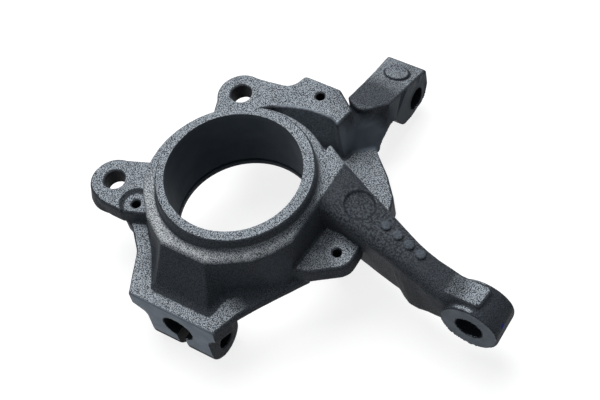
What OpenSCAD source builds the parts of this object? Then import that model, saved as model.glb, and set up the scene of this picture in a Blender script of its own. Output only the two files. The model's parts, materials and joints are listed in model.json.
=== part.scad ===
// Steering knuckle for a strut suspension: one iron casting.
// The origin is on the wheel bearing axis, in the plane of the machined inboard face of the housing.
// +Z points outboard along the bearing axis, +Y points up on the vehicle, +X points along the steering arm.

/* [Bearing housing] */
// Diameter of the wheel bearing seat
bearing_d = 72; // [66:0.5:76]
// Length of the wheel bearing seat
bearing_len = 37; // [34:0.5:40]
// Plain mouth inboard of the circlip groove
mouth_len = 3.3; // [2.5:0.1:5]
// Width of the circlip groove
groove_w = 2; // [1.2:0.1:3]
// Depth of the circlip groove
groove_depth = 1.6; // [0.8:0.1:2.5]
// Thickness of the outboard stop lip
lip_t = 3.4; // [2:0.1:5]
// How far the stop lip reaches in over the seat
lip_reach = 1; // [0.5:0.1:3]
// Wall of the outboard collar around the seat
collar_wall = 4; // [3:0.5:6]
// Height of the outboard collar above the shoulder
collar_h = 10.3; // [6:0.1:14]
// Offset of the cast collar toward the steering arm
collar_shift = 1; // [0:0.1:1.5]
// Wall of the housing below the shoulder
housing_wall = 11; // [9:0.5:14]
// Rounding at the edge of the shoulder
shoulder_round = 2; // [0.5:0.1:3]
// Fillet between the housing and the base plate
foot_fillet = 2.5; // [1:0.1:3]

/* [Ball joint clamp] */
// Distance of the ball joint pin from the bearing axis, away from the steering arm
ball_x = 2.7; // [0:0.1:5]
// Distance of the ball joint pin inboard of the housing face
ball_z = 9.5; // [9:0.1:12]
// Diameter of the ball joint pin hole
ball_pin_d = 17.4; // [15:0.1:18.5]
// Distance of the machined clamp face below the bearing axis
clamp_face = 65.8; // [64:0.1:70]
// Width of the clamp block
clamp_w = 37.6; // [34:0.1:42]
// Depth of the clamp block behind its machined face
clamp_depth = 22.5; // [20:0.1:26]
// Distance of the pinch bolt inboard of the pin hole
pinch_drop = 13.7; // [13:0.1:15]
// Diameter of the pinch bolt hole
pinch_bolt_d = 10; // [8:0.1:11]
// Width of the clamp slot
slot_w = 5; // [3:0.1:6]

/* [Base plate] */
// Outboard level of the base plate
plate_z = 5.5; // [4:0.1:7]
// Thickness of the base plate
plate_t = 9.5; // [8:0.1:11]
// Thickness of its flank under the steering arm
flank_t = 4.5; // [3:0.1:7]
// Width of the base plate at the clamp face
plate_w = 51; // [48:0.5:56]
// Width of the nose between housing and clamp, at the plate
nose_w = 33.5; // [30:0.5:36]
// Width of the nose at the shoulder
nose_top_w = 25.5; // [22:0.5:28]
// Reach of the nose below the bearing axis, at the plate
nose_reach = 59; // [56:0.5:61]

/* [Caliper ears] */
// Outboard level of the caliper ears
ear_z = 15; // [13:0.1:17]
// Thickness of the caliper ears
ear_t = 10; // [9.6:0.1:12]
// Diameter of the caliper bolt holes
caliper_bolt_d = 11.4; // [9:0.1:13]
// Distance of the front caliper bolt from the bearing axis, fore and aft
ear1_x = 70; // [68:0.1:73]
// Distance of the front caliper bolt below the bearing axis
ear1_y = 16.5; // [15:0.1:18]
// Distance of the upper caliper bolt from the bearing axis, fore and aft
ear2_x = 39.6; // [38:0.1:41]
// Distance of the upper caliper bolt above the bearing axis
ear2_y = 59.7; // [58:0.1:62]
// Radius of the ears around their bolts
ear_r = 12.6; // [11:0.1:14]
// Growth of that radius toward the inboard side
ear_draft = 2; // [0:0.1:3]

/* [Shield screws] */
// Core diameter of the shield screw holes
shield_hole_d = 5; // [4:0.1:6]
// Depth of the shield screw holes
shield_hole_depth = 8; // [6:0.5:8.5]
// Distance of the two side screws from the bearing axis
shield_r = 56.7; // [55.5:0.1:58]
// Distance of the upper screw above the bearing axis
shield_top_y = 76.2; // [75:0.1:77.5]
// How far the side bosses sit below the caliper ears
boss_drop = 1.4; // [0.8:0.1:2]
// Radius of the side bosses
boss_r = 8.1; // [7:0.1:9]

/* [Strut ear] */
// Width of the strut ear along its bolt
strut_w = 23.6; // [20:0.1:26]
// Distance of the machined bolt face from the bearing axis
strut_face = 33.1; // [31:0.1:35]
// Height of the strut bolt above the bearing axis
strut_y = 116.4; // [114:0.1:119]
// Distance of the strut bolt inboard of the housing face
strut_z = 15.6; // [14:0.1:17]
// Diameter of the strut bolt hole
strut_bolt_d = 13; // [11:0.1:14]
// Metal beyond the strut bolt, to the end of the ear
strut_end = 12.6; // [11:0.1:15]
// Slope of the outboard side of the ear in degrees
strut_slope = 21.6; // [18:0.1:24]

/* [Web and spine] */
// Distance of the web inboard of the housing face
web_z = 16; // [14:0.1:18]
// Thickness of the web
web_t = 8; // [6:0.5:10]
// Depth of the rim along the free edge of the web
rim_h = 16; // [12:0.5:18]
// Thickness of that rim
rim_t = 8; // [6:0.5:9]
// Radius of the pocket between housing and spine
pocket_r = 49.4; // [48.8:0.1:50]
// Thickness of the raised floor of that pocket
pocket_floor_t = 7.5; // [6:0.5:8]

/* [Steering arm] */
// Distance of the tie rod hole from the bearing axis
tie_x = 129; // [124:0.1:134]
// Distance of the machined tie rod face below the bearing axis
tie_face = 4; // [3:0.1:5]
// Width of the tie rod eye along its hole
tie_w = 18; // [16:0.1:20]
// Radius of the tie rod eye
tie_r = 15.2; // [14:0.1:16.5]
// Diameter of the tie rod hole
tie_hole_d = 14.4; // [12:0.1:16]
// Height of the flat pad over the tie rod eye
eye_pad_h = 1.6; // [0.5:0.1:2.5]
// Rounding along the front edge of the steering arm
arm_edge_r = 6; // [2:0.5:7]
// Number of raised pips along the steering arm
pip_count = 4; // [1:1:4]
// Width of the steering arm at mid length
arm_mid_w = 19; // [16:0.1:22]

/* [Hidden] */
iron = [0.30, 0.31, 0.33];
fine = 96;
lap = 1;

// Points on an arc from angle a0 to a1 in n steps
function arc(c, r, a0, a1, n) =
    [for (i = [0:n]) let (a = a0 + (a1 - a0) * i / n) c + r * [cos(a), sin(a)]];

function unit(v) = v / norm(v);

// Corner p1 of an outline as an arc of radius r, tangent to both of its sides
function corner(p0, p1, p2, r, n = 4) =
    r <= 0 ? [p1] :
    let (
        a = unit(p0 - p1),
        b = unit(p2 - p1),
        half = acos(a * b) / 2,
        c = p1 + unit(a + b) * r / sin(half),
        s = p1 + a * r / tan(half) - c,
        e = p1 + b * r / tan(half) - c,
        start = atan2(s[1], s[0]),
        sweep = (atan2(e[1], e[0]) - start + 540) % 360 - 180
    )
    arc(c, r, start, start + sweep, n);

// Closed outline whose corners [x, y, r] are rounded with their own radius
function rounded(pts, n = 4) =
    let (m = len(pts), flat = [for (p = pts) [p[0], p[1]]])
    [for (i = [0:m - 1])
        each corner(flat[(i + m - 1) % m], flat[i], flat[(i + 1) % m], pts[i][2], n)];

// Open run of points whose inner corners [x, y, r] are rounded
function rounded_run(pts, n = 4) =
    let (m = len(pts), flat = [for (p = pts) [p[0], p[1]]])
    [
        flat[0],
        for (i = [1:m - 2]) each corner(flat[i - 1], flat[i], flat[i + 1], pts[i][2], n),
        flat[m - 1]
    ];

function mean(pts, i = 0, sum = [0, 0, 0]) =
    i == len(pts) ? sum / len(pts) : mean(pts, i + 1, sum + pts[i]);

// Skin over closed rings of equal length, closed by a fan at each end.
// Each ring runs anticlockwise seen from the far end.
module loft(rings) {
    n = len(rings[0]);
    m = len(rings);
    sides = [for (k = [0:m - 2], i = [0:n - 1], half = [0, 1])
        let (a = k * n + i, b = k * n + (i + 1) % n)
        half == 0 ? [a, b + n, b] : [a, a + n, b + n]];
    near = [for (i = [0:n - 1]) [m * n, i, (i + 1) % n]];
    far = [for (i = [0:n - 1]) [m * n + 1, (m - 1) * n + (i + 1) % n, (m - 1) * n + i]];
    points = concat([for (r = rings) each r], [mean(rings[0]), mean(rings[m - 1])]);
    polyhedron(points, concat(near, sides, far), convexity = 6);
}

// Extrusion along +X of an outline given in Y and Z
module along_x(x0, x1) {
    translate([x0, 0, 0]) rotate([90, 0, 90]) linear_extrude(x1 - x0) children();
}

// Extrusion along +Y of an outline given in X and Z
module along_y(y0, y1) {
    translate([0, y1, 0]) rotate([90, 0, 0]) linear_extrude(y1 - y0) children();
}

// Bearing housing
seat_r = bearing_d / 2;
seat_z0 = mouth_len + groove_w;
seat_z1 = seat_z0 + bearing_len;
rim_z = seat_z1 + lip_t;
shoulder_z = rim_z - collar_h;
collar_r = seat_r + collar_wall;
housing_r = seat_r + housing_wall;
side_r = collar_r + collar_shift + 1.8;

// Ball joint clamp
clamp_x0 = -ball_x - clamp_w / 2;
clamp_x1 = -ball_x + clamp_w / 2;
clamp_back = clamp_face - clamp_depth;
clamp_bottom_r = clamp_depth / 2;
pinch_y = -clamp_face + clamp_bottom_r;
pinch_z = -ball_z - pinch_drop;
plate_x0 = -ball_x - plate_w / 2 - 0.8;
plate_x1 = -ball_x + plate_w / 2 - 0.8;
plate_bottom = plate_z - plate_t;

// Ears and bosses
ear1 = [-ear1_x, -ear1_y];
ear2 = [-ear2_x, ear2_y];
boss_z = ear_z - boss_drop;
shield_front = shield_r * [cos(204.5), sin(204.5)];
shield_rear = shield_r * [cos(-2.6), sin(-2.6)];
shield_top = [0, shield_top_y];

// Centre of the arc of the pocket wall
pocket_c = [6.4, 17.5];

// Strut ear
strut_x0 = strut_face - strut_w;
strut_tip = strut_y + strut_end;
// Root wall of the ear in plan at four levels, from the spine round to the bolt face
strut_foot = [
    [12.5, 69], [16, 68], [17.4, 70.6], [21.5, 72.5], [25, 76], [28.5, 78.7], [strut_face, 86]
];
strut_waist = [
    [12.5, 70], [16, 69.5], [18.3, 72.3], [20.5, 73.5], [22.7, 75.1], [25, 76.9], [strut_face, 85]
];
strut_neck = [
    [13, 74], [16.5, 73.5], [19.4, 74.6], [21.7, 75.6], [24, 77], [26.3, 78.9], [strut_face, 87.5]
];
strut_crest = [
    [14.4, 82.4], [17.5, 80.5], [20.5, 79.2], [23.5, 79.1], [27.6, 82.2], [32.8, 91.1], [strut_face, 91.7]
];

// Outboard level of the strut ear at height y
function strut_top(y) = -5.5 - (y - strut_tip) * tan(strut_slope);

// Section of the housing and its nose, from s = 0 at the plate to s = 1 at the shoulder.
// A negative inset flares the nose and leaves the round back of the housing as it is.
function housing_ring(z, s, inset = 0) =
    let (
        r = housing_r + (1 - s) - max(inset, 0),
        half_nose = (nose_w + s * (nose_top_w - nose_w)) / 2 - min(inset, 0),
        nose_y = -nose_reach + s * (nose_reach - housing_r + 1.5) + inset,
        xy = concat(
            [[side_r - max(inset, 0), 0], [side_r - max(inset, 0), 12]],
            arc([-1.2, 0], r + 0.2, 40, 204, 20),
            [
                [-44.5 + 5 * s + inset, -26],
                [-30.5 + inset, -39.5 + 3.5 * s + inset],
                [-ball_x - half_nose, nose_y],
                [-ball_x + half_nose, nose_y],
                [14.9 - 4.3 * s - min(inset, 0), -47 + 1.8 * s + inset],
                [15.5 - inset, -43 + inset],
                [28 + 1.7 * s - inset, -35 + 0.8 * s + inset],
                [35.3 + 1.5 * s - inset, -31.5 + 5.5 * s + inset],
                [side_r - 2.7 * (1 - s) - max(inset, 0), -27 + 12.5 * s]
            ]
        )
    )
    [for (p = xy) [p[0], p[1], z]];

module housing() {
    nose_h = shoulder_z - shoulder_round;
    top = housing_ring(shoulder_z, 1, shoulder_round * 0.6);
    loft([
        housing_ring(-lap, 0),
        housing_ring(0, 0),
        housing_ring(plate_z - lap / 2, plate_z / nose_h, -foot_fillet),
        housing_ring(plate_z + 0.3 * foot_fillet, plate_z / nose_h, -0.4 * foot_fillet),
        housing_ring(plate_z + foot_fillet, (plate_z + foot_fillet) / nose_h),
        housing_ring(nose_h, 1),
        top
    ]);
    // Collar over a ledge that rises toward it, cut to the outline of the shoulder
    intersection() {
        translate([collar_shift, 0, shoulder_z - lap]) rotate_extrude($fn = fine) polygon([
            [0, 0],
            [collar_r + 6, 0.4],
            [collar_r + 0.9, 2.1],
            [collar_r + 0.4, 3.2],
            [collar_r, collar_h],
            [collar_r - 0.9, collar_h + lap],
            [0, collar_h + lap]
        ]);
        linear_extrude(rim_z + lap) polygon([for (p = top) [p[0], p[1]]]);
    }
}

module base_plate() {
    difference() {
        translate([0, 0, plate_bottom]) linear_extrude(plate_t) polygon(base_outline());
        // The flank toward the steering arm is thinner
        translate([clamp_x1 + 0.5, -clamp_face + 11, plate_bottom - lap])
            cube([60, 60, plate_t - flank_t + lap]);
    }
}

function base_outline() = rounded([
        [plate_x0, -clamp_face, 0.8],
        [plate_x1, -clamp_face, 1],
        [26.8, -51.7, 4],
        [33.7, -39.5, 6],
        [47.9, -17.2, 0],
        [30, 0, 0],
        [-30, 0, 0],
        [-57, -20, 0],
        [-57, -29.5, 2],
        [-50.5, -32, 8],
        [-39.5, -43, 14]
    ]);

module clamp_block() {
    intersection() {
        along_y(-clamp_face, -clamp_back) polygon(rounded([
            [plate_x0, plate_z - 1, 0],
            [plate_x0 + 1, plate_bottom, 2],
            [clamp_x0, plate_bottom - 4, 5],
            [clamp_x0, pinch_z - 20, 0],
            [clamp_x1, pinch_z - 20, 0],
            [clamp_x1, plate_bottom - 5, 6],
            [plate_x1 - 1, plate_bottom, 1],
            [plate_x1, plate_z - 1, 0]
        ]));
        along_x(plate_x0 - 1, plate_x1 + 1) polygon(concat(
            [[-clamp_back, plate_z - 1], [-clamp_face, plate_z - 1]],
            arc([pinch_y, pinch_z], clamp_bottom_r, 180, 360, 16)
        ));
    }
}

// Round end of a caliper ear, widening toward the inboard side
module ear_end(c) {
    translate([c[0], c[1], ear_z - ear_t])
        cylinder(h = ear_t, r1 = ear_r + ear_draft, r2 = ear_r, $fn = fine);
}

// Point at angle a on the outline of the ear around c, just inside its edge
function ear_edge(c, a) = c + (ear_r - 0.3) * [cos(a), sin(a)];

module front_ear() {
    difference() {
        union() {
            ear_end(ear1);
            translate([0, 0, ear_z - ear_t]) linear_extrude(ear_t) polygon([
                ear_edge(ear1, 112),
                ear_edge(ear1, 248),
                ear1 + [-0.5, -13.7],
                ear1 + [6, -14.4],
                ear1 + [13, -14.5],
                [-40, -25],
                [-35, 0],
                [-44, 6.6]
            ]);
        }
        translate([shield_front[0], shield_front[1], boss_z]) cylinder(h = 10, r = boss_r, $fn = fine);
        translate([-52, -40, boss_z]) cube([20, 25, 10]);
    }
}

// Upper caliper ear, from its bolt to the housing and the spine
module upper_ear() {
    ear_end(ear2);
    translate([0, 0, ear_z - ear_t]) linear_extrude(ear_t) polygon(concat(
        [ear_edge(ear2, 212), ear_edge(ear2, 96)],
        rounded_run([[-31, 73, 0], [-18, 75, 8], [-14.5, 82, 0]]),
        [[-8, 75], [-8, 68]],
        arc(pocket_c, pocket_r, 108, 146, 10),
        [[-31, 33], [-39, 23]]
    ));
}

module rear_boss() {
    translate([0, 0, ear_z - ear_t]) linear_extrude(ear_t - boss_drop + 0.4) polygon(concat(
        arc(shield_rear, boss_r + 0.5, -60, 0, 5),
        rounded_run([[65.2, 2, 0], [65, 8, 4], [55, 10.5, 4], [38, 14, 0]]),
        [[38, -22], [49, -18.6]]
    ));
}

// Wall between the housing and the strut ear, with the upper shield screw in its top
module spine() {
    bottom = -web_z - web_t + lap;
    translate([0, 0, bottom]) linear_extrude(ear_z - bottom) polygon(concat(
        arc(pocket_c, pocket_r, 118, 81, 10),
        rounded_run([
            [17.4, 64.2, 0],
            [20, 75.4, 1],
            [7.2, 84.6, 3],
            [-14.2, 84.6, 2],
            [-17.5, 74, 0]
        ])
    ));
    translate([0, 0, -pocket_floor_t]) linear_extrude(ear_z - ear_t / 2 + pocket_floor_t) polygon(concat(
        arc(pocket_c, pocket_r, 148, 116, 8),
        [[-16, 75], [-24, 71]],
        arc(pocket_c, pocket_r + 6, 132, 148, 4)
    ));
}

// Floor of the pocket, rising from the web to the inboard face behind the upper caliper ear
module pocket_floor() {
    intersection() {
        along_y(30, 80) polygon([
            [3, -web_z - 6],
            [3, -web_z],
            [-1, -web_z],
            [-13, 0],
            [-46, 0],
            [-46, -pocket_floor_t],
            [-15, -pocket_floor_t]
        ]);
        translate([0, 0, -web_z - 8]) linear_extrude(web_z + 10) polygon(concat(
            arc([0, 0], housing_r - 0.5, 84, 152, 12),
            arc(pocket_c, pocket_r + 3, 150, 84, 12)
        ));
    }
}

// Plan of the strut ear at level z: its fore and aft sides and the corners of its leaning root wall
function strut_ring(z, wall) =
    let (xy = concat(
        [
            [strut_x0, strut_tip],
            [strut_x0 + 1.6, strut_y - 4.4],
            [strut_x0 + 2.4, strut_y - 16.4],
            [strut_x0 + 3, 84]
        ],
        wall,
        [[strut_face, strut_tip]]
    ))
    [for (p = xy) [p[0], p[1], z]];

module strut_arm() {
    intersection() {
        loft([
            strut_ring(-40, strut_foot),
            strut_ring(-web_z, strut_foot),
            strut_ring(-6, strut_waist),
            strut_ring(1, strut_neck),
            strut_ring(9.6, strut_crest),
            strut_ring(20, strut_crest)
        ]);
        along_x(0, strut_face + 5) polygon(rounded([
            [strut_tip, strut_top(strut_tip), 1],
            [strut_tip + 0.5, strut_top(strut_tip) - 9, 6],
            [strut_tip - 4, -strut_z - 8, 5],
            [strut_y - 6, -strut_z - 8.5, 6],
            [strut_y - 15, -strut_z - 6, 5],
            [strut_y - 22.5, -strut_z + 9.2, 6],
            [strut_y - 31, -strut_z + 9, 4],
            [strut_y - 34.2, -strut_z, 6],
            [strut_y - 36, -web_z - web_t + 2 * lap, 0],
            [62, -web_z - web_t + 2 * lap, 0],
            [62, 8, 0],
            [76, ear_z - 0.8, 3],
            [84, strut_top(84), 6]
        ]));
    }
}

module web() {
    free_edge = [[28.4, 78.7], [33.4, 73.9], [44, 64.6], [53.5, 54], [56.5, 44]];
    difference() {
        translate([0, 0, -web_z - rim_h]) linear_extrude(rim_h) polygon(concat(
            free_edge,
            [[57, 22.5]],
            arc([0, 0], housing_r + 3, 26, 78, 10),
            [[0, 52], [-8, 54]],
            arc(pocket_c, pocket_r + 4, 110, 95, 4),
            [[10, 78.7]]
        ));
        translate([0, 0, -web_z - rim_h - lap]) linear_extrude(rim_h - web_t + lap) polygon(concat(
            [[24, 70.5], [33.4 - rim_t, 73.4 - rim_t], [53.5 - rim_t, 54 - rim_t / 2]],
            [[48.5, 44], [50.5, 31]],
            arc([0, 0], housing_r + 3 + rim_t * 0.6, 30, 78, 10)
        ));
    }
    // Skirt that carries the web up to the housing and stands back for the drive shaft joint
    translate([0, 0, -web_z - web_t + lap / 2]) linear_extrude(web_z + web_t + 2 * lap) polygon(concat(
        arc([0, 0], housing_r + 7, 12, 102, 12),
        arc([-11, 12], 38.5, 90, 60, 5),
        arc([0, 0], housing_r - 1, 79, 12, 10)
    ));
    translate([0, 0, -2 * lap]) linear_extrude(12) polygon(concat(
        arc([0, 0], housing_r + 7, 12, 102, 12),
        arc([0, 0], housing_r - 1, 102, 12, 12)
    ));
}

// Section of the steering arm at x: Y of its back and front edges at the top and at the bottom
function arm_ring(x, back, front, back_low, front_low, top, bottom, edge = arm_edge_r) =
    [for (p = rounded([
        [front_low, bottom, 2],
        [back_low, bottom, 1],
        [back, top, 2],
        [front, top, edge]
    ])) [x, p[0], p[1]]];

module steering_arm() {
    back = tie_w - tie_face;
    front = 21.8 - arm_mid_w;
    eye_top = tie_r + eye_pad_h;
    slope = (shoulder_z - eye_top) / (tie_x - 14 - 41);
    loft([
        arm_ring(30, 41, 9, 38, 9, shoulder_z - lap / 4, -web_z - web_t + 1.5 * lap),
        arm_ring(41, 35, 8, 33, 8, shoulder_z - lap / 4, -web_z - web_t + 1.5 * lap),
        arm_ring(49, 32, 6.8, 30.5, 12.2, shoulder_z - slope * 8, -web_z - web_t * 0.2),
        arm_ring(57, 28.8, 5, 28, 13.8, shoulder_z - slope * 16, -web_z + 0.4),
        arm_ring(77, 22, front, 20.5, 8.9, shoulder_z - slope * 36, -web_z),
        arm_ring(84, 19.5, front - 1, 18, 7.4, shoulder_z - slope * 43, -web_z),
        arm_ring(88.5, 17.9, front - 1.4, 16.8, 3.8, shoulder_z - slope * 47.5, -14.6),
        arm_ring(93, 16.4, front - 2, 15.5, 1, shoulder_z - slope * 52, -13.6),
        arm_ring(98.5, 15, front - 2.8, 14.5, -0.2, shoulder_z - slope * 57.5, -12.4),
        arm_ring(105, 13.8, -1.8, 13.5, -0.8, shoulder_z - slope * 64, -9.6),
        arm_ring(tie_x - 14, back - 1, -tie_face + 1, back - 1, -tie_face + 1, eye_top, -5, 4),
        arm_ring(tie_x - 8, back - 2, -tie_face + 3, back - 2, -tie_face + 3, eye_top - 1, -5, 4)
    ]);
}

module tie_rod_eye() {
    translate([tie_x, tie_w - tie_face, 0]) rotate([90, 0, 0]) cylinder(h = tie_w, r = tie_r, $fn = fine);
    linear_extrude(tie_r + eye_pad_h) polygon(rounded([
        [tie_x - 16, -tie_face + 3.8, 0],
        [tie_x + 4, -tie_face + 3.8, 2],
        [tie_x + 5.5, tie_w - tie_face - 2, 2],
        [tie_x - 16, tie_w - tie_face - 2, 0]
    ]));
}

// Raised round foundry pad on the strut ear
module strut_pad() {
    translate([22.1, 117.1, strut_top(117.1)]) rotate([-strut_slope, 0, 0])
        cylinder(h = 2, r = 6.6, center = true, $fn = fine);
}

// Row of raised round pips along the steering arm
module arm_pips() {
    for (i = [0:pip_count - 1]) translate([75.5 + 7 * i, 15 - 1.4 * i, 27 - 1.7 * i]) rotate([0, 14, 0])
        cylinder(h = 2.4, r = 2.4, center = true, $fn = 48);
}

// Shallow round foundry stamp in the root of the steering arm
module arm_stamp() {
    translate([59.4, 18, 29.6]) rotate([0, 14, 0]) cylinder(h = 2.4, r1 = 7, r2 = 9.6, $fn = fine);
}

// Bearing seat with its mouth, circlip groove and stop lip
module bearing_seat() {
    rotate_extrude($fn = fine * 2) polygon([
        [0, -50],
        [seat_r + 3.2, -50],
        [seat_r + 3.2, 0],
        [seat_r + 0.6, 0],
        [seat_r, 0.6],
        [seat_r, mouth_len],
        [seat_r + groove_depth, mouth_len],
        [seat_r + groove_depth, seat_z0],
        [seat_r, seat_z0],
        [seat_r, seat_z1],
        [seat_r - lip_reach, seat_z1],
        [seat_r - lip_reach, rim_z + 1],
        [0, rim_z + 1]
    ]);
}

module clamp_cuts() {
    translate([-ball_x, -clamp_face - 1, -ball_z]) rotate([-90, 0, 0])
        cylinder(h = clamp_depth + 3, d = ball_pin_d, $fn = fine);
    translate([-ball_x - slot_w / 2, -clamp_face - 1, pinch_z - 20])
        cube([slot_w, clamp_depth + 2, pinch_drop + 20]);
    translate([clamp_x0 - 10, pinch_y, pinch_z]) rotate([0, 90, 0])
        cylinder(h = clamp_w + 20, d = pinch_bolt_d, $fn = fine);
}

module shield_hole(c, z) {
    translate([c[0], c[1], z - shield_hole_depth])
        cylinder(h = shield_hole_depth + 1, d = shield_hole_d, $fn = fine);
}

module caliper_hole(c) {
    translate([c[0], c[1], ear_z - ear_t - 1]) cylinder(h = ear_t + 2, d = caliper_bolt_d, $fn = fine);
}

// The whole casting with its machined holes and faces
module knuckle_casting() {
    color(iron) difference() {
        union() {
            housing();
            base_plate();
            clamp_block();
            front_ear();
            upper_ear();
            rear_boss();
            spine();
            strut_arm();
            web();
            pocket_floor();
            steering_arm();
            tie_rod_eye();
            strut_pad();
            arm_pips();
        }
        bearing_seat();
        arm_stamp();
        clamp_cuts();
        caliper_hole(ear1);
        caliper_hole(ear2);
        shield_hole(shield_front, boss_z);
        shield_hole(shield_rear, boss_z + 0.4);
        shield_hole(shield_top, ear_z);
        translate([strut_x0 - 1, strut_y, -strut_z]) rotate([0, 90, 0])
            cylinder(h = strut_w + 2, d = strut_bolt_d, $fn = fine);
        translate([tie_x, tie_w, 0]) rotate([90, 0, 0])
            cylinder(h = 2 * tie_w, d = tie_hole_d, $fn = fine);
    }
}

knuckle_casting();
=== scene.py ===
"""A cast steering knuckle on a pale floor.

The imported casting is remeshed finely, its cast edges and corners are rounded
as sand casting leaves them, and its machined seats, holes and faces stay
sharp. Lengths are in metres, in the part's own frame, and colours are linear.
"""
import json
import math

import bmesh
import bpy
import numpy as np
from mathutils import Euler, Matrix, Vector, noise


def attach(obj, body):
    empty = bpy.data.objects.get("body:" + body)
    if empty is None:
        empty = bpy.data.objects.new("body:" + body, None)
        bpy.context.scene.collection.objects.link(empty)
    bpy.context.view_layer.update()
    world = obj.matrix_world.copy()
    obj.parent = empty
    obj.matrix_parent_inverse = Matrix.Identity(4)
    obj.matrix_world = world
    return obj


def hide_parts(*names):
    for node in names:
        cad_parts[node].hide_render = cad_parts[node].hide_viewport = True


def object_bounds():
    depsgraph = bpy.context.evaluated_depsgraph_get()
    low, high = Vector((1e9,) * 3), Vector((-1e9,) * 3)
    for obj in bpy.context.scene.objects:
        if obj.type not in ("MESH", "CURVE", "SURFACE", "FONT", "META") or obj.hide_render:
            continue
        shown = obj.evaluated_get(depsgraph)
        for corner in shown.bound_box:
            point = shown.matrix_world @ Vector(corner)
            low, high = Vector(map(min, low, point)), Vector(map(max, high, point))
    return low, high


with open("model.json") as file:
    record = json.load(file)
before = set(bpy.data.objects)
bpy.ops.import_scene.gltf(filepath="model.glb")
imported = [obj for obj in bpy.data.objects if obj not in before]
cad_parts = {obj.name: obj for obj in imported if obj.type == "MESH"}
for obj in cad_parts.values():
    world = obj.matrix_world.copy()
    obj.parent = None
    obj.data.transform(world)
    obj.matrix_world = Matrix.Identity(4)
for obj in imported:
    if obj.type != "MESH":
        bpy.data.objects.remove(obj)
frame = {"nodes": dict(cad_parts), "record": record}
cad_low, cad_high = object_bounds()

MM = 0.001
CASTING = "knuckle_casting"


def mm(x, y, z):
    """A vector given in millimetres."""
    return Vector((x, y, z)) * MM


# Camera, as the photograph was taken
AIM = mm(17.2, 23.1, 0.0)
CAMERA_DISTANCE = 740.5 * MM
CAMERA_AZIMUTH = 43.01
CAMERA_ELEVATION = 55.52
CAMERA_ROLL = -14.09
CAMERA_LENS = 86.05
SENSOR_WIDTH = 36.0
NEAR_CLIP = 10.0 * MM

# Mesh
WELD_DISTANCE = 0.001 * MM
OCTREE_DEPTH = 9
OCTREE_SCALE = 0.99
TRIANGLE_BUDGET = 190000
SHARP_ANGLE = 50.0

# Rounding: outer edges take part in the first passes only, inner corners in all of them
ROUNDING_PASSES = 5
FILLET_PASSES = 26
CRISP_PASSES = 3
NORMALS_EVERY = 6
ROUNDING_RATE = 0.9

# Pips along the steering arm, the stamp in its root and the pad on the strut ear
PIP_COUNT = 4
PIP_FIRST = (75.5, 15.0, 27.0)
PIP_STEP = (7.0, -1.4, -1.7)
STAMP_CENTRE = mm(59.4, 18.0, 29.6)
PAD_CENTRE = mm(22.1, 117.1, -0.4)


def pip_place(index, lift=0.0):
    """Centre of a pip of the row, raised by lift millimetres."""
    x, y, z = (first + index * step for first, step in zip(PIP_FIRST, PIP_STEP))
    return mm(x, y, z + lift)


# Small raised and sunk forms that keep crisp edges: centre and radius
CRISP_FORMS = (
    (STAMP_CENTRE, 11.5 * MM),
    *((pip_place(index), 3.6 * MM) for index in range(PIP_COUNT)),
    (mm(22.1, 117.1, -0.8), 8.0 * MM),
)

# Relief of the cast skin
SWELL_HEIGHT = 0.10 * MM
SWELL_LENGTH = 9.0 * MM
PEBBLE_HEIGHT = 0.045 * MM
PEBBLE_LENGTH = 2.2 * MM

# What the rounding takes off the casting's outline, which the skin gets back
ROUNDING_LOSS = 0.35 * MM

# Kinds of surface, which are also the casting's material slots
CAST, MILLED, DRILLED, BORED, STRUT_SIDE, CLAMP_FRONT = range(6)

# Machined surfaces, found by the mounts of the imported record
MOUNTS = {mount["name"]: mount for mount in frame["record"]["mounts"]}
MACHINED_FACES = {
    "tie_rod_face": MILLED,
    "strut_face": STRUT_SIDE,
    "clamp_front_face": CLAMP_FRONT,
}
VERTEX_SLACK = 0.12 * MM
FACE_SLACK = 0.10 * MM

# Share of a normal that lies along the mount's axis: at least this on a face, less on a wall
FACE_SHARE = 0.9
WALL_SHARE = 0.6

# Milled face around the bore, on the inboard side at height 0
INBOARD_RADIUS = 48.0 * MM

# Bearing seat with its stop lip and circlip groove, which is all bored but for the mouth's rim
SEAT_RADIUS = MOUNTS["bearing_bore"]["dims"]["r_mm"] * MM
LIP_STEP = 0.4 * MM
GROOVE_DEPTH = 2.0 * MM
GROOVE_LOW = -1.0 * MM
GROOVE_HIGH = 8.0 * MM
GROOVE_SHARE = 0.95
MOUTH_HEIGHT = 0.5 * MM

# Flat outboard end of the collar
RIM_RADIUS = 39.0 * MM
RIM_SLACK = 0.15 * MM


# Finding the machined surfaces

def bores():
    """Every mount with a round wall: its axis point, axis, radius and length."""
    for mount in MOUNTS.values():
        if "r_mm" in mount.get("dims", {}):
            yield (
                np.array(mount["pos_m"]),
                np.array(mount["axis"], float),
                mount["dims"]["r_mm"] * MM,
                mount["dims"]["length_mm"] * MM,
            )


def from_axis(points, centre, axis):
    """Distance of each point from a line, and its place along the line."""
    offset = points - centre
    along = offset @ axis
    across = offset - np.outer(along, axis)
    return np.linalg.norm(across, axis=1), along


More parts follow.
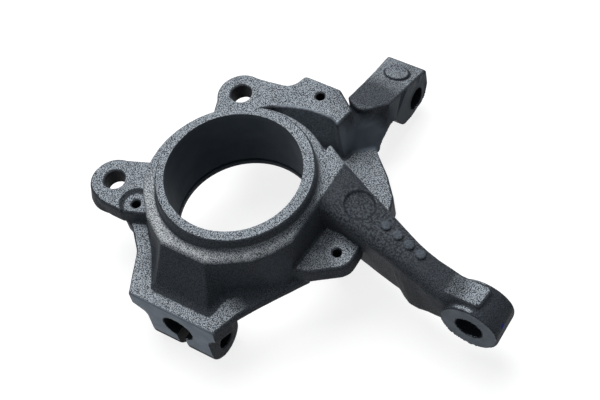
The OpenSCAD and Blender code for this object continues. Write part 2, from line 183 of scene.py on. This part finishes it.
def machined_kind(points, normals, slack):
    """The kind of surface at each point."""
    kind = np.full(len(points), CAST)
    for name, milled in MACHINED_FACES.items():
        normal = np.array(MOUNTS[name]["axis"], float)
        height = (points - np.array(MOUNTS[name]["pos_m"])) @ normal
        kind[(np.abs(height) < slack) & (normals @ normal > FACE_SHARE)] = milled
    radius = np.hypot(points[:, 0], points[:, 1])
    height, upright = points[:, 2], normals[:, 2]
    inboard = (np.abs(height) < slack) & (upright < -FACE_SHARE)
    kind[inboard & (radius < INBOARD_RADIUS)] = MILLED
    for opening in frame["record"]["physics"]["openings"]:
        low, high = (np.array(corner) for corner in opening["box_m"])
        inside = np.all((points > low - 2 * slack) & (points < high + 2 * slack), axis=1)
        kind[inside] = DRILLED
    for centre, axis, bore_radius, length in bores():
        distance, along = from_axis(points, centre, axis)
        inside = (distance < bore_radius + slack) & (np.abs(along) < length + 2 * slack)
        kind[inside & (np.abs(normals @ axis) < WALL_SHARE)] = DRILLED
    kind[(radius < SEAT_RADIUS + LIP_STEP) & (upright < WALL_SHARE)] = BORED
    groove = (radius < SEAT_RADIUS + GROOVE_DEPTH) & (height < GROOVE_HIGH) & (height > GROOVE_LOW)
    kind[groove & ((np.abs(upright) < GROOVE_SHARE) | (height > MOUTH_HEIGHT))] = BORED
    return kind


def rim_face(points):
    """True on the flat outboard end of the collar, which isn't rounded."""
    distance = np.hypot(points[:, 0], points[:, 1])
    top = points[:, 2].max()
    return (points[:, 2] > top - RIM_SLACK) & (distance < RIM_RADIUS)


# Making the mesh

def read_vectors(items, attribute):
    """One vector of each item of a mesh, as rows of an array."""
    values = np.empty(len(items) * 3, np.float32)
    items.foreach_get(attribute, values)
    return values.reshape(-1, 3).astype(float)


def set_points(mesh, points):
    """Writes vertex positions back to a mesh."""
    mesh.vertices.foreach_set("co", points.astype(np.float32).ravel())
    mesh.update()


def add_object(name, data):
    """A new object in the scene."""
    made = bpy.data.objects.new(name, data)
    bpy.context.scene.collection.objects.link(made)
    return made


def evaluated_mesh(made):
    """A copy of an object's mesh with its modifiers applied."""
    return bpy.data.meshes.new_from_object(
        made.evaluated_get(bpy.context.evaluated_depsgraph_get())
    )


def remeshed(node):
    """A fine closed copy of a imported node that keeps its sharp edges."""
    mesh = frame["nodes"][node].data.copy()
    welded = bmesh.new()
    welded.from_mesh(mesh)
    bmesh.ops.remove_doubles(welded, verts=welded.verts, dist=WELD_DISTANCE)
    welded.to_mesh(mesh)
    welded.free()
    rough = add_object("rough_" + node, mesh)
    remesh = rough.modifiers.new("remesh", "REMESH")
    remesh.mode = "SHARP"
    remesh.octree_depth = OCTREE_DEPTH
    remesh.scale = OCTREE_SCALE
    remesh.use_remove_disconnected = False
    fine = evaluated_mesh(rough)
    bpy.data.objects.remove(rough)
    return fine


def round_casting(mesh):
    """Rounds outer edges a little and inner corners more, and leaves machined surfaces alone."""
    points = read_vectors(mesh.vertices, "co")
    normals = read_vectors(mesh.vertex_normals, "vector")
    edges = np.empty(len(mesh.edges) * 2, np.int32)
    mesh.edges.foreach_get("vertices", edges)
    start, end = edges[0::2], edges[1::2]
    count = len(points)
    degree = np.bincount(start, minlength=count) + np.bincount(end, minlength=count)
    degree = np.maximum(degree, 1)

    free = (machined_kind(points, normals, VERTEX_SLACK) == CAST).astype(float)
    free[rim_face(points)] = 0.0
    crisp = np.zeros(count, bool)
    for centre, radius in CRISP_FORMS:
        crisp |= np.linalg.norm(points - np.array(centre), axis=1) < radius

    for turn in range(FILLET_PASSES):
        if turn == CRISP_PASSES:
            free[crisp] = 0.0
        if turn and turn % NORMALS_EVERY == 0:
            set_points(mesh, points)
            normals = read_vectors(mesh.vertex_normals, "vector")
        pull = np.empty_like(points)
        for k in range(3):
            total = np.bincount(start, weights=points[end, k], minlength=count)
            total += np.bincount(end, weights=points[start, k], minlength=count)
            pull[:, k] = total / degree - points[:, k]
        hollow = np.einsum("ij,ij->i", pull, normals) > 0
        rate = np.where(hollow | (turn < ROUNDING_PASSES), ROUNDING_RATE, 0.0)
        points += pull * (rate * free)[:, None]
    set_points(mesh, points)


def thin_out(made, budget):
    """Collapses the mesh to a triangle budget."""
    triangles = sum(len(face.vertices) - 2 for face in made.data.polygons)
    decimate = made.modifiers.new("decimate", "DECIMATE")
    decimate.ratio = min(1.0, budget / triangles)
    thinner = evaluated_mesh(made)
    made.modifiers.clear()
    made.data = thinner


def roughen(mesh):
    """Gives the cast skin its low swells and pebbles, and what the rounding took off."""
    points = read_vectors(mesh.vertices, "co")
    normals = read_vectors(mesh.vertex_normals, "vector")
    cast = machined_kind(points, normals, VERTEX_SLACK) == CAST
    for index in np.flatnonzero(cast):
        place = Vector(points[index])
        height = ROUNDING_LOSS + SWELL_HEIGHT * noise.noise(place / SWELL_LENGTH)
        height += PEBBLE_HEIGHT * noise.noise(place / PEBBLE_LENGTH)
        points[index] += normals[index] * height
    set_points(mesh, np.clip(points, np.array(cad_low), np.array(cad_high)))


# Colours and masks of the cast skin

# Walls in the skin's own dark tone, and the upper side in a lighter tone that is painted light on
# faces turned up and down
CAST_DARK = (0.019, 0.022, 0.027)
CAST_LIGHT = (0.054, 0.063, 0.075)
LIT_TOP_DARK = (0.022, 0.027, 0.034)
LIT_TOP_LIGHT = (0.460, 0.505, 0.550)
TOP_LIGHT_DIRECTION = Vector((-0.22, 0.12, 0.965))
TOP_LIGHT_START = 0.895
TOP_LIGHT_FULL = 0.94

# Slow drift of the tone
CAST_SHADE = (0.66, 0.68, 0.71)
DRIFT_LENGTH = 26.0 * MM
DRIFT_SHARE = 0.45

# Grain sizes, and where the noise turns from dark to light
GRAIN_LENGTH = 0.46 * MM
SPECKLE = (0.455, 0.545)
COARSE_LENGTH = 1.0 * MM
COARSE = (0.42, 0.60)
PEBBLE_GRAIN = 2.4 * MM

# Edge of a zone, as shares of its reach
ZONE_OUTSIDE = 1.25
ZONE_INSIDE = 0.70

# Coarse skin on top of the steering arm: centre and reach
ROUGH_ZONE = (mm(76.0, 15.0, 28.0), mm(44.0, 20.0, 9.0))
ROUGH_DARK = (0.019, 0.022, 0.027)
ROUGH_LIGHT = (0.082, 0.092, 0.106)

# Tops of the pips, which get a painted highlight
PIP_LIFT = 1.0
PIP_REACH = mm(2.6, 2.6, 2.6)
PIP_HIGHLIGHT = 0.22

# Parts of the walls in shade that get painted light, and pip tops that get a painted highlight:
# centre, reach and how much
PAINTED_LIGHT_ZONES = (
    (mm(4.0, 64.0, 0.0), mm(30.0, 9.0, 15.0), 0.80),
    (mm(27.0, 77.0, -8.0), mm(14.0, 9.0, 16.0), 0.85),
    (mm(37.0, -27.0, 22.0), mm(10.0, 8.0, 11.0), 0.10),
    (mm(-2.0, -66.0, 5.0), mm(30.0, 2.0, 2.6), 0.45),
    # Painted highlights on the pip tops
    *((pip_place(index, PIP_LIFT), PIP_REACH, PIP_HIGHLIGHT) for index in range(PIP_COUNT)),
)
PAINTED_LIGHT_SKIN = (0.230, 0.270, 0.320)

# Wall of the pocket behind the housing, painted pale as painted light where it lies in shade:
# centre and reach
POCKET_ZONE = (mm(-4.0, 65.0, 4.0), mm(21.0, 7.0, 16.0))
POCKET_LIT_DARK = (0.300, 0.340, 0.385)
POCKET_LIT_LIGHT = (0.520, 0.575, 0.635)

# Parts of the upper side where painted shade takes back some of the painted light: centre, reach
# and how much
UPPER_SHADE_ZONES = (
    (mm(20.0, 86.0, 4.5), mm(24.0, 22.0, 12.0), 0.90),
    (mm(82.0, 13.0, 24.0), mm(36.0, 15.0, 14.0), 1.0),
    (mm(113.0, 5.0, 17.0), mm(11.0, 14.0, 6.0), 0.75),
    (mm(34.0, -33.0, 5.5), mm(20.0, 16.0, 7.0), 1.0),
    (mm(48.0, -22.0, 5.5), mm(18.0, 12.0, 7.0), 1.0),
    (mm(48.0, -12.0, 14.0), mm(11.0, 10.0, 6.0), 0.6),
    (mm(47.5, 0.5, 14.0), mm(5.5, 6.5, 5.0), 0.7),
    (mm(24.0, 117.0, -1.0), mm(20.0, 14.0, 10.0), 0.25),
)

# Parts in deep shade, painted darker still as painted shade: centre and reach
DEEP_SHADE_ZONES = (
    (mm(23.0, -57.0, -8.0), mm(10.0, 12.0, 11.0)),
    (mm(-28.0, -44.0, 20.0), mm(9.5, 12.0, 14.5)),
    (mm(80.0, 2.0, -2.0), mm(38.0, 13.0, 14.0)),
)
DEEP_SHADE_COLOUR = (0.40, 0.42, 0.45)

# Painted shade along the edges of the stamp and the pad: centre and radius
SHADE_RINGS = ((STAMP_CENTRE, 7.9 * MM), (PAD_CENTRE, 6.9 * MM))
RING_FADE = 0.9 * MM
RING_CORE = 0.3 * MM

# Ledge around the collar, as far as the arm, painted with the upper side's painted light outside
# the collar's shade, and a painted highlight on its front
LEDGE_LOW = 33.0 * MM
LEDGE_EDGE = 35.6 * MM
LEDGE_TOP = 40.0 * MM
LEDGE_DARK_RADIUS = 40.9 * MM
LEDGE_LIGHT_RADIUS = 41.9 * MM
ARM_START = 41.8 * MM
LEDGE_FADE = 1.0 * MM
HIGHLIGHT_START = -10.0 * MM
HIGHLIGHT_FULL = -34.0 * MM
LEDGE_HIGHLIGHT_DARK = (0.120, 0.130, 0.138)
LEDGE_HIGHLIGHT_LIGHT = (0.700, 0.728, 0.750)

# Paint dab on the side of the tie rod eye
DAB_CENTRE = mm(143.7, 2.6, 3.8)
DAB_RADIUS = 1.7 * MM
DAB_CORE = 0.7
DAB_RAGGED = 0.6 * MM
PAINT_BLUE = (0.012, 0.018, 0.22)

# Machined surfaces: darker and lighter tone, and the colour of the tool lines; the strut side's
# copy is painted darker as painted shade, the clamp front's copy lighter as painted light
MILLED_TONES = ((0.165, 0.195, 0.230), (0.250, 0.285, 0.330), (0.37, 0.42, 0.47))
STRUT_SHADED_TONES = ((0.020, 0.030, 0.041), (0.031, 0.045, 0.060), (0.048, 0.066, 0.086))
CLAMP_LIT_TONES = ((0.250, 0.295, 0.355), (0.360, 0.415, 0.485), (0.50, 0.56, 0.63))
DRILLED_TONES = ((0.008, 0.010, 0.013), (0.022, 0.026, 0.031))
SEAT_TONES = ((0.080, 0.100, 0.122), (0.110, 0.132, 0.158))

# Strength of the plain reflection
CAST_SPECULAR = 0.12
CUT_SPECULAR = 0.05
SEAT_SPECULAR = 0.012

# The middle of a noise, where nearly all of its values lie, and its upper part
NOISE_RANGE = (0.3, 0.7)
UPPER_RANGE = (0.35, 0.7)

# Noise is turned out of line with the flat faces, which would cut it along its own grid
NOISE_TURN = (0.37, 0.61, 0.29)

# Noise is drawn out along the tool lines of a milled face and around the bearing seat
MILLED_STRETCH = (0.12, 1.0, 1.0)
TURNED_STRETCH = (0.05, 0.05, 1.0)


class Shader:
    """A node material under construction."""

    def __init__(self, name):
        self.material = bpy.data.materials.new(name)
        self.material.use_nodes = True
        self.tree = self.material.node_tree
        self.surface = self.tree.nodes["Principled BSDF"]
        self.place = self.add("ShaderNodeTexCoord").outputs["Object"]

    def add(self, kind, **settings):
        node = self.tree.nodes.new(kind)
        for key, value in settings.items():
            setattr(node, key, value)
        return node

    def link(self, source, target):
        self.tree.links.new(source, target)

    def noise(self, size, detail=2.0, roughness=0.5, stretch=None):
        """Noise whose features are about size metres across."""
        node = self.add("ShaderNodeTexNoise")
        node.inputs["Scale"].default_value = 1.0 / size
        node.inputs["Detail"].default_value = detail
        node.inputs["Roughness"].default_value = roughness
        mapping = self.add("ShaderNodeMapping")
        if stretch is None:
            mapping.inputs["Rotation"].default_value = NOISE_TURN
        else:
            mapping.inputs["Scale"].default_value = stretch
        self.link(self.place, mapping.inputs["Vector"])
        self.link(mapping.outputs["Vector"], node.inputs["Vector"])
        return node.outputs["Fac"]

    def spread(self, value, low, high, to_low=0.0, to_high=1.0):
        """Stretches value from low..high to to_low..to_high."""
        node = self.add("ShaderNodeMapRange")
        node.inputs["From Min"].default_value = low
        node.inputs["From Max"].default_value = high
        node.inputs["To Min"].default_value = to_low
        node.inputs["To Max"].default_value = to_high
        self.link(value, node.inputs["Value"])
        return node.outputs["Result"]

    def vector_math(self, operation, source, value=None):
        """A vector operation on a socket, with a constant as its second input."""
        node = self.add("ShaderNodeVectorMath", operation=operation)
        self.link(source, node.inputs[0])
        if value is not None:
            node.inputs[1].default_value = value
        return node.outputs["Value" if operation in ("LENGTH", "DISTANCE") else "Vector"]

    def separate(self, vector):
        """The three parts of a vector."""
        node = self.add("ShaderNodeSeparateXYZ")
        self.link(vector, node.inputs[0])
        return node.outputs["X"], node.outputs["Y"], node.outputs["Z"]

    def within(self, centre, reach):
        """1 inside an ellipsoid of the part's frame, 0 outside it, with a soft edge."""
        offset = self.vector_math("SUBTRACT", self.place, centre)
        scaled = self.vector_math("DIVIDE", offset, reach)
        return self.spread(self.vector_math("LENGTH", scaled), ZONE_OUTSIDE, ZONE_INSIDE)

    def math(self, operation, *values):
        """A number from sockets and constants."""
        node = self.add("ShaderNodeMath", operation=operation)
        for socket, value in zip(node.inputs, values):
            if isinstance(value, float):
                socket.default_value = value
            else:
                self.link(value, socket)
        return node.outputs[0]

    def mix(self, factor, a, b, blend="MIX"):
        """Mixes two colours, each a socket or an RGB triple, by a socket."""
        node = self.add("ShaderNodeMix", data_type="RGBA", blend_type=blend)
        self.link(factor, node.inputs[0])
        for socket, value in ((node.inputs[6], a), (node.inputs[7], b)):
            if isinstance(value, tuple):
                socket.default_value = (*value, 1.0)
            else:
                self.link(value, socket)
        return node.outputs[2]

    def bump(self, height, distance, strength, below=None):
        """A normal raised by a height, over the normal below it."""
        node = self.add("ShaderNodeBump")
        node.inputs["Strength"].default_value = strength
        node.inputs["Distance"].default_value = distance
        self.link(height, node.inputs["Height"])
        if below is not None:
            self.link(below, node.inputs["Normal"])
        return node.outputs["Normal"]

    def finish(self, colour, roughness, normal, specular):
        """Joins everything to the surface and hands over the material."""
        self.link(colour, self.surface.inputs["Base Color"])
        self.link(roughness, self.surface.inputs["Roughness"])
        self.link(normal, self.surface.inputs["Normal"])
        self.surface.inputs["Specular IOR Level"].default_value = specular
        return self.material


def top_light_mask(shader):
    """1 on faces turned up and down, which get painted light, 0 on the walls."""
    normal = shader.add("ShaderNodeNewGeometry").outputs["Normal"]
    x, y, z = shader.separate(shader.vector_math("MULTIPLY", normal, TOP_LIGHT_DIRECTION))
    toward_top_light = shader.math("ADD", shader.math("ADD", x, y), shader.math("ABSOLUTE", z))
    return shader.spread(toward_top_light, TOP_LIGHT_START, TOP_LIGHT_FULL)


def ledge_masks(shader):
    """The heights at which the ledge lies, the ledge itself, and its front, which gets a painted
    highlight.
    """
    x, y, z = shader.separate(shader.place)
    radius = shader.vector_math("LENGTH", shader.vector_math("MULTIPLY", shader.place, (1, 1, 0)))
    band = shader.math(
        "MULTIPLY",
        shader.spread(z, LEDGE_LOW, LEDGE_EDGE),
        shader.spread(z, LEDGE_TOP + LEDGE_FADE, LEDGE_TOP),
    )
    outer = shader.math(
        "MULTIPLY",
        shader.spread(radius, LEDGE_DARK_RADIUS, LEDGE_LIGHT_RADIUS),
        shader.spread(x, ARM_START + LEDGE_FADE, ARM_START),
    )
    ledge = shader.math("MULTIPLY", band, outer)
    ledge_highlight = shader.math("MULTIPLY", ledge, shader.spread(y, HIGHLIGHT_START, HIGHLIGHT_FULL))
    return band, ledge, ledge_highlight


def wall_skin(shader, speckle):
    """Colour of the walls: dark grain, coarse on the arm, with painted light on walls in shade and
    on the pocket wall, and painted highlights on the pip tops.
    """
    coarse = shader.spread(shader.noise(COARSE_LENGTH, roughness=0.6), *COARSE)
    skin = shader.mix(speckle, CAST_DARK, CAST_LIGHT)
    rough_skin = shader.mix(coarse, ROUGH_DARK, ROUGH_LIGHT)
    skin = shader.mix(shader.within(*ROUGH_ZONE), skin, rough_skin)
    # Painted light on walls that lie in shade, and painted highlights on the pip tops
    for centre, reach, strength in PAINTED_LIGHT_ZONES:
        painted_light = shader.math("MULTIPLY", shader.within(centre, reach), strength)
        skin = shader.mix(painted_light, skin, PAINTED_LIGHT_SKIN)
    # Painted light on the pocket wall, which lies in shade
    lit_pocket_skin = shader.mix(coarse, POCKET_LIT_DARK, POCKET_LIT_LIGHT)
    return shader.mix(shader.within(*POCKET_ZONE), skin, lit_pocket_skin)


def paint_mask(shader, pebbles):
    """1 on the dab of paint, which has a ragged edge."""
    away = shader.vector_math("DISTANCE", shader.place, DAB_CENTRE)
    ragged = shader.spread(pebbles, *NOISE_RANGE, -DAB_RAGGED, DAB_RAGGED)
    return shader.spread(shader.math("ADD", away, ragged), DAB_RADIUS, DAB_CORE * DAB_RADIUS)


def cast_iron():
    """Shot-blasted skin: salt and pepper grain, soft tone drift, and a dab of blue paint.

    Faces turned up and down are painted lighter than the flanks as painted light, and so is
    the ledge around the collar, with a painted highlight on its front. Painted shade takes
    some of that light back, darkens parts in deep shade, and rings the stamp and the pad.
    """
    shader = Shader("cast_iron_skin")
    grain = shader.noise(GRAIN_LENGTH, detail=1.0)
    pebbles = shader.noise(PEBBLE_GRAIN)
    drift = shader.noise(DRIFT_LENGTH, detail=3.0, roughness=0.55)
    speckle = shader.spread(grain, *SPECKLE)

    band, ledge, ledge_highlight = ledge_masks(shader)
    off_ledge = shader.math("MULTIPLY", top_light_mask(shader), shader.math("SUBTRACT", 1.0, band))
    # The ledge takes the painted light of the upper side
    lit_top = shader.math("ADD", off_ledge, ledge)
    # Painted shade takes back some of the painted light
    for centre, reach, strength in UPPER_SHADE_ZONES:
        dark = shader.math("MULTIPLY", shader.within(centre, reach), -strength)
        lit_top = shader.math("MULTIPLY", lit_top, shader.math("ADD", dark, 1.0))

    # Painted light: the upper side takes this lighter colour
    lit_top_skin = shader.mix(speckle, LIT_TOP_DARK, LIT_TOP_LIGHT)
    colour = shader.mix(lit_top, wall_skin(shader, speckle), lit_top_skin)
    # Painted highlight on the front of the ledge
    colour = shader.mix(ledge_highlight, colour, shader.mix(speckle, LEDGE_HIGHLIGHT_DARK, LEDGE_HIGHLIGHT_LIGHT))
    shade = shader.spread(drift, *UPPER_RANGE, to_high=DRIFT_SHARE)
    colour = shader.mix(shade, colour, CAST_SHADE, "MULTIPLY")
    # Painted shade in hollows and on walls turned away from the lamps
    for centre, reach in DEEP_SHADE_ZONES:
        colour = shader.mix(shader.within(centre, reach), colour, DEEP_SHADE_COLOUR, "MULTIPLY")
    # Painted shade in thin rings round the stamp and the pad
    for centre, radius in SHADE_RINGS:
        away = shader.vector_math("DISTANCE", shader.place, centre)
        off_ring = shader.math("ABSOLUTE", shader.math("SUBTRACT", away, radius))
        ring_shade = shader.spread(off_ring, RING_FADE, RING_CORE)
        colour = shader.mix(ring_shade, colour, DEEP_SHADE_COLOUR, "MULTIPLY")
    colour = shader.mix(paint_mask(shader, pebbles), colour, PAINT_BLUE)

    relief = shader.bump(pebbles, distance=0.2 * MM, strength=0.5)
    relief = shader.bump(grain, distance=0.16 * MM, strength=0.6, below=relief)
    roughness = shader.spread(grain, *NOISE_RANGE, to_low=0.75, to_high=0.55)
    return shader.finish(colour, roughness, relief, CAST_SPECULAR)


def milled_iron(name, dark, light, line):
    """A milled face: smooth grey with fine tool lines."""
    shader = Shader(name)
    lines = shader.noise(0.5 * MM, roughness=0.6, stretch=MILLED_STRETCH)
    clouds = shader.noise(9.0 * MM)
    colour = shader.mix(shader.spread(clouds, *NOISE_RANGE), dark, light)
    colour = shader.mix(shader.spread(lines, *UPPER_RANGE, to_high=0.3), colour, line)
    relief = shader.bump(lines, distance=0.05 * MM, strength=0.35)
    roughness = shader.spread(lines, *NOISE_RANGE, to_low=0.55, to_high=0.42)
    return shader.finish(colour, roughness, relief, CUT_SPECULAR)


def drilled_iron():
    """The wall of a drilled hole: dark, with rings from the drill."""
    shader = Shader("drilled_iron")
    rings = shader.noise(0.8 * MM, roughness=0.6)
    colour = shader.mix(shader.spread(rings, *UPPER_RANGE), *DRILLED_TONES)
    relief = shader.bump(rings, distance=0.08 * MM, strength=0.4)
    roughness = shader.spread(rings, *NOISE_RANGE, to_low=0.6, to_high=0.45)
    return shader.finish(colour, roughness, relief, CUT_SPECULAR)


def seat_iron():
    """The bored bearing seat: near black under its oil film, with fine turning lines."""
    shader = Shader("bored_seat")
    turning = shader.noise(0.45 * MM, roughness=0.6, stretch=TURNED_STRETCH)
    clouds = shader.noise(14.0 * MM)
    colour = shader.mix(shader.spread(clouds, *NOISE_RANGE), *SEAT_TONES)
    relief = shader.bump(turning, distance=0.03 * MM, strength=0.3)
    roughness = shader.spread(turning, *NOISE_RANGE, to_low=0.5, to_high=0.38)
    return shader.finish(colour, roughness, relief, SEAT_SPECULAR)


def make_casting():
    """The whole casting, rounded, thinned and dressed."""
    mesh = remeshed(CASTING)
    round_casting(mesh)
    casting = add_object("knuckle", mesh)
    thin_out(casting, TRIANGLE_BUDGET)
    mesh = casting.data
    materials = {
        CAST: cast_iron(),
        MILLED: milled_iron("milled_iron", *MILLED_TONES),
        DRILLED: drilled_iron(),
        BORED: seat_iron(),
        # The strut side is painted darker as painted shade, the clamp front lighter as painted
        # light
        STRUT_SIDE: milled_iron("strut_side", *STRUT_SHADED_TONES),
        CLAMP_FRONT: milled_iron("clamp_front", *CLAMP_LIT_TONES),
    }
    mesh.materials.clear()
    for kind in sorted(materials):
        mesh.materials.append(materials[kind])
    centres = read_vectors(mesh.polygons, "center")
    normals = read_vectors(mesh.polygons, "normal")
    kinds = machined_kind(centres, normals, FACE_SLACK)
    roughen(mesh)
    mesh.polygons.foreach_set("material_index", kinds.astype(np.int32))
    mesh.shade_smooth()
    mesh.set_sharp_from_angle(angle=math.radians(SHARP_ANGLE))
    mesh.update()
    return casting


# Stage

FLOOR_SIZE = 6.0
FLOOR_DROP = 0.02 * MM
FLOOR_PAPER = 0.16
SHOWN_PAPER = 0.32
SHOWN_GLOW = 0.82
SKY_COLOUR = (0.86, 0.93, 1.0, 1.0)
SKY_STRENGTH = 0.16
KEY_PLACE = Vector((-0.25, 0.32, 1.25))
KEY_POWER = 16.8
FILL_PLACE = Vector((-0.25, -1.2, 0.5))
FILL_POWER = 1.6
LAMP_SIZE = 0.9


def grey(level):
    """A grey as red, green, blue and alpha."""
    return (level, level, level, 1.0)


def ray_is_looking(tree):
    """1 for camera, glossy and transmission rays, which see the white background."""
    path = tree.nodes.new("ShaderNodeLightPath")
    total = path.outputs["Is Camera Ray"]
    for name in ("Is Glossy Ray", "Is Transmission Ray"):
        larger = tree.nodes.new("ShaderNodeMath")
        larger.operation = "MAXIMUM"
        tree.links.new(total, larger.inputs[0])
        tree.links.new(path.outputs[name], larger.inputs[1])
        total = larger.outputs[0]
    return total


def show_apart(tree, lit, shown, output):
    """Gives looking rays the shown shader and all other rays the lit one."""
    mix = tree.nodes.new("ShaderNodeMixShader")
    tree.links.new(ray_is_looking(tree), mix.inputs[0])
    tree.links.new(lit.outputs[0], mix.inputs[1])
    tree.links.new(shown.outputs[0], mix.inputs[2])
    tree.links.new(mix.outputs[0], tree.nodes[output].inputs["Surface"])


def make_world():
    """White where it is looked at, and a weak even sky as a light."""
    world = bpy.data.worlds.new("studio")
    bpy.context.scene.world = world
    world.use_nodes = True
    tree = world.node_tree
    sky = tree.nodes["Background"]
    sky.inputs["Color"].default_value = SKY_COLOUR
    sky.inputs["Strength"].default_value = SKY_STRENGTH
    white = tree.nodes.new("ShaderNodeBackground")
    white.inputs["Color"].default_value = grey(1.0)
    white.inputs["Strength"].default_value = 1.0
    show_apart(tree, sky, white, "World Output")


def make_floor():
    """A pale floor that keeps a light shadow."""
    half = FLOOR_SIZE / 2
    level = cad_low.z - FLOOR_DROP
    outline = ((-half, -half), (half, -half), (half, half), (-half, half))
    mesh = bpy.data.meshes.new("floor")
    mesh.from_pydata([(x, y, level) for x, y in outline], [], [(0, 1, 2, 3)])
    floor = add_object("floor", mesh)
    material = bpy.data.materials.new("floor_paper")
    material.use_nodes = True
    tree = material.node_tree
    tree.nodes.remove(tree.nodes["Principled BSDF"])
    paper = tree.nodes.new("ShaderNodeBsdfDiffuse")
    paper.inputs["Color"].default_value = grey(FLOOR_PAPER)
    shown_paper = tree.nodes.new("ShaderNodeBsdfDiffuse")
    shown_paper.inputs["Color"].default_value = grey(SHOWN_PAPER)
    glow = tree.nodes.new("ShaderNodeEmission")
    glow.inputs["Color"].default_value = grey(SHOWN_GLOW)
    shown = tree.nodes.new("ShaderNodeAddShader")
    tree.links.new(shown_paper.outputs[0], shown.inputs[0])
    tree.links.new(glow.outputs[0], shown.inputs[1])
    show_apart(tree, paper, shown, "Material Output")
    mesh.materials.append(material)


def make_lamp(name, place, power):
    """A square soft box that faces the casting."""
    light = bpy.data.lights.new(name, "AREA")
    light.shape = "SQUARE"
    light.size = LAMP_SIZE
    light.energy = power
    lamp = add_object(name, light)
    lamp.location = place
    lamp.rotation_euler = (AIM - lamp.location).to_track_quat("-Z", "Y").to_euler()


def make_camera():
    """The photograph's camera: placed by azimuth, elevation and distance, then rolled."""
    azimuth, elevation = math.radians(CAMERA_AZIMUTH), math.radians(CAMERA_ELEVATION)
    back = Vector((
        math.sin(azimuth) * math.cos(elevation),
        -math.cos(azimuth) * math.cos(elevation),
        math.sin(elevation),
    ))
    data = bpy.data.cameras.new("camera")
    data.lens = CAMERA_LENS
    data.sensor_width = SENSOR_WIDTH
    data.clip_start = NEAR_CLIP
    camera = add_object("camera", data)
    level = (-back).to_track_quat("-Z", "Y")
    roll = Euler((0, 0, math.radians(CAMERA_ROLL))).to_quaternion()
    camera.rotation_mode = "QUATERNION"
    camera.rotation_quaternion = level @ roll
    camera.location = AIM + back * CAMERA_DISTANCE
    bpy.context.scene.camera = camera


make_camera()
make_world()
make_floor()
make_lamp("key", KEY_PLACE, KEY_POWER)
make_lamp("fill", FILL_PLACE, FILL_POWER)

casting = make_casting()
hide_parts(CASTING)
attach(casting, "root")

bpy.context.scene.view_settings.view_transform = "Standard"
